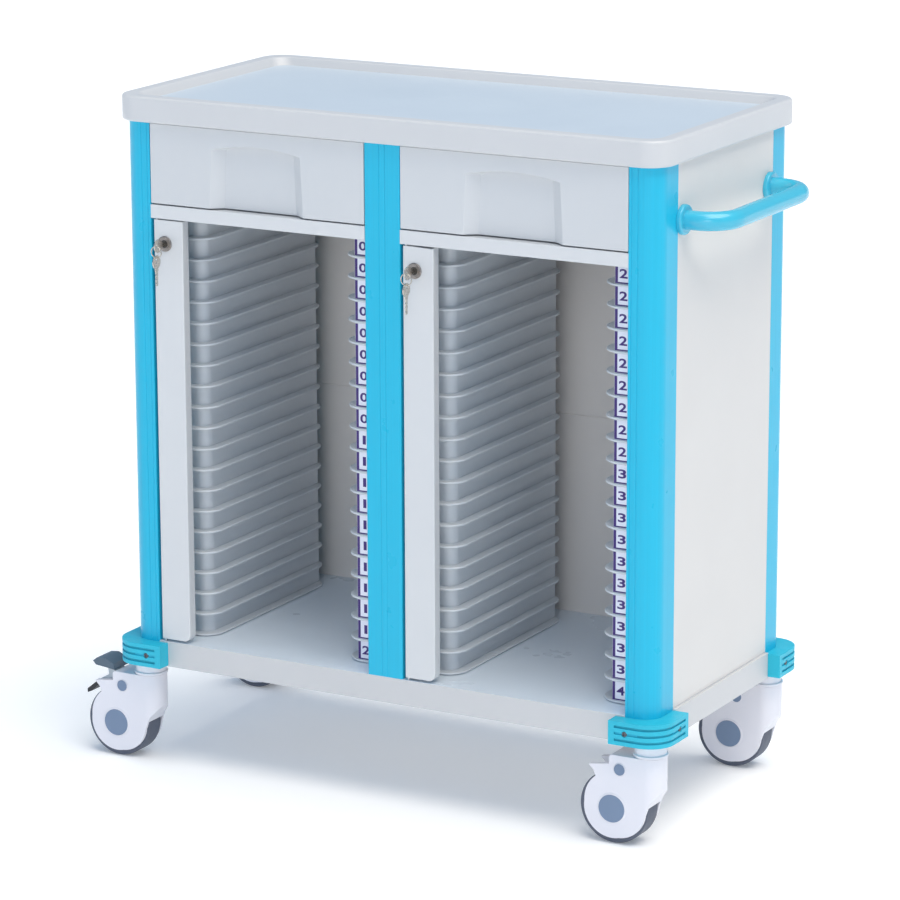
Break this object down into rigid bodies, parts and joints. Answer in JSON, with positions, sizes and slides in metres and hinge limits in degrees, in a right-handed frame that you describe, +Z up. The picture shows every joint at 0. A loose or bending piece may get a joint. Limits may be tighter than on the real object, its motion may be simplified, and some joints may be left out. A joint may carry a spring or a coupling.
{
  "type": "medical chart rack",
  "caption": "Wheeled chart trolley with a rimmed work top, drawers, two bays of chart ledges with numbered slots, hinged locking bars, a side push handle and swivel castors.",
  "frame": {"origin": "on the floor, under the centre of the whole rack's bounding box", "axes": "+X to the right along the front, towards the push handle; +Y to the back; +Z up"},
  "size_m": [0.9912, 0.4684, 0.9691],
  "materials": {
    "white_abs": "moulded, fine grain",
    "grey_mat": "textured sheet",
    "blue_post": "painted light blue",
    "blue_handle": "painted light blue",
    "blue_bumper": "moulded light blue",
    "white_panel": "fine grained sheet",
    "sheet_steel": "powder coat",
    "slot_panel": "moulded",
    "label_white": "moulded plate with printed number",
    "slide_steel": "zinc plated",
    "lock_chrome": "plated",
    "castor_white": "moulded nylon",
    "castor_caps": "moulded",
    "tyre_grey": "grey thermoplastic rubber",
    "pedal_grey": "moulded"
  },
  "bodies": {
    "cabinet": {"worktop_tray": "white_abs", "worktop_mat": "grey_mat", "corner_post_front_left": "blue_post", "corner_post_front_right": "blue_post", "corner_post_rear_left": "blue_post", "corner_post_rear_right": "blue_post", "centre_post": "blue_post", "side_panel_right": "white_panel", "side_panel_left": "white_panel", "back_panel": "white_panel", "centre_partition": "sheet_steel", "base_tray": "white_abs", "drawer_shelves": "sheet_steel", "cabinet_slides": "slide_steel", "bar_hinge_pins": "slide_steel", "slot_walls_left": "slot_panel", "slot_ledges_left": "slot_panel", "slot_labels_left": "label_white", "slot_walls_right": "slot_panel", "slot_ledges_right": "slot_panel", "slot_labels_right": "label_white", "handle_tube": "blue_handle", "handle_flanges": "blue_handle", "corner_bumpers": "blue_bumper", "bumper_screws": "slide_steel", "castor_heads": "castor_white"},
    "drawer_left": {"drawer_front_left": "white_abs", "drawer_box_left": "sheet_steel", "drawer_slides_left": "slide_steel"},
    "bar_left": {"locking_bar_left": "white_abs", "lock_body_left": "lock_chrome"},
    "lock_left": {"lock_cylinder_left": "lock_chrome", "lock_key_left": "lock_chrome"},
    "keys_left": {"spare_key_ring_left": "lock_chrome"},
    "drawer_right": {"drawer_front_right": "white_abs", "drawer_box_right": "sheet_steel", "drawer_slides_right": "slide_steel"},
    "bar_right": {"locking_bar_right": "white_abs", "lock_body_right": "lock_chrome"},
    "lock_right": {"lock_cylinder_right": "lock_chrome", "lock_key_right": "lock_chrome"},
    "keys_right": {"spare_key_ring_right": "lock_chrome"},
    "castor_front_left": {"castor_hood_front_left": "castor_white", "castor_axle_front_left": "castor_caps"},
    "wheel_front_left": {"castor_wheel_front_left": "castor_caps", "castor_tyre_front_left": "tyre_grey"},
    "pedal_front_left": {"brake_pedal_front_left": "pedal_grey"},
    "castor_front_right": {"castor_hood_front_right": "castor_white", "castor_axle_front_right": "castor_caps"},
    "wheel_front_right": {"castor_wheel_front_right": "castor_caps", "castor_tyre_front_right": "tyre_grey"},
    "castor_rear_left": {"castor_hood_rear_left": "castor_white", "castor_axle_rear_left": "castor_caps"},
    "wheel_rear_left": {"castor_wheel_rear_left": "castor_caps", "castor_tyre_rear_left": "tyre_grey"},
    "castor_rear_right": {"castor_hood_rear_right": "castor_white", "castor_axle_rear_right": "castor_caps"},
    "wheel_rear_right": {"castor_wheel_rear_right": "castor_caps", "castor_tyre_rear_right": "tyre_grey"},
    "pedal_rear_right": {"brake_pedal_rear_right": "pedal_grey"}
  },
  "joints": [
    {"name": "drawer_slide_left", "type": "slide", "parent": "cabinet", "child": "drawer_left", "axis": [0, -1, 0], "range_m": [0, 0.29]},
    {"name": "bar_hinge_left", "type": "hinge", "parent": "cabinet", "child": "bar_left", "pos_m": [-0.35539, -0.19775, 0.188], "axis": [0, 0, -1], "range_deg": [0, 90]},
    {"name": "key_turn_left", "type": "hinge", "parent": "bar_left", "child": "lock_left", "pos_m": [-0.34089, -0.20175, 0.76334], "axis": [0, -1, 0], "range_deg": [0, 180]},
    {"name": "key_ring_swing_left", "type": "hinge", "parent": "lock_left", "child": "keys_left", "pos_m": [-0.34089, -0.22475, 0.76334], "axis": [-1, 0, 0], "range_deg": [-15, 75]},
    {"name": "drawer_slide_right", "type": "slide", "parent": "cabinet", "child": "drawer_right", "axis": [0, -1, 0], "range_m": [0, 0.29]},
    {"name": "bar_hinge_right", "type": "hinge", "parent": "cabinet", "child": "bar_right", "pos_m": [0.04311, -0.19775, 0.188], "axis": [0, 0, -1], "range_deg": [0, 90]},
    {"name": "key_turn_right", "type": "hinge", "parent": "bar_right", "child": "lock_right", "pos_m": [0.05761, -0.20175, 0.76334], "axis": [0, -1, 0], "range_deg": [0, 180]},
    {"name": "key_ring_swing_right", "type": "hinge", "parent": "lock_right", "child": "keys_right", "pos_m": [0.05761, -0.22475, 0.76334], "axis": [-1, 0, 0], "range_deg": [-15, 75]},
    {"name": "castor_swivel_front_left", "type": "hinge", "parent": "cabinet", "child": "castor_front_left", "pos_m": [-0.39259, -0.18125, 0.1274], "axis": [0, 0, 1], "continuous": true},
    {"name": "wheel_spin_front_left", "type": "hinge", "parent": "castor_front_left", "child": "wheel_front_left", "pos_m": [-0.43959, -0.18125, 0.0508], "axis": [0, 1, 0], "continuous": true},
    {"name": "brake_rock_front_left", "type": "hinge", "parent": "castor_front_left", "child": "pedal_front_left", "pos_m": [-0.42811, -0.18125, 0.10775], "axis": [0, -1, 0], "range_deg": [0, 8]},
    {"name": "castor_swivel_front_right", "type": "hinge", "parent": "cabinet", "child": "castor_front_right", "pos_m": [0.40781, -0.18125, 0.1274], "axis": [0, 0, 1], "continuous": true},
    {"name": "wheel_spin_front_right", "type": "hinge", "parent": "castor_front_right", "child": "wheel_front_right", "pos_m": [0.36081, -0.18125, 0.0508], "axis": [0, 1, 0], "continuous": true},
    {"name": "castor_swivel_rear_left", "type": "hinge", "parent": "cabinet", "child": "castor_rear_left", "pos_m": [-0.39259, 0.19075, 0.1274], "axis": [0, 0, 1], "continuous": true},
    {"name": "wheel_spin_rear_left", "type": "hinge", "parent": "castor_rear_left", "child": "wheel_rear_left", "pos_m": [-0.43959, 0.19075, 0.0508], "axis": [0, 1, 0], "continuous": true},
    {"name": "castor_swivel_rear_right", "type": "hinge", "parent": "cabinet", "child": "castor_rear_right", "pos_m": [0.40781, 0.19075, 0.1274], "axis": [0, 0, 1], "continuous": true},
    {"name": "wheel_spin_rear_right", "type": "hinge", "parent": "castor_rear_right", "child": "wheel_rear_right", "pos_m": [0.36081, 0.19075, 0.0508], "axis": [0, 1, 0], "continuous": true},
    {"name": "brake_rock_rear_right", "type": "hinge", "parent": "castor_rear_right", "child": "pedal_rear_right", "pos_m": [0.37229, 0.19075, 0.10775], "axis": [0, -1, 0], "range_deg": [0, 8]}
  ]
}
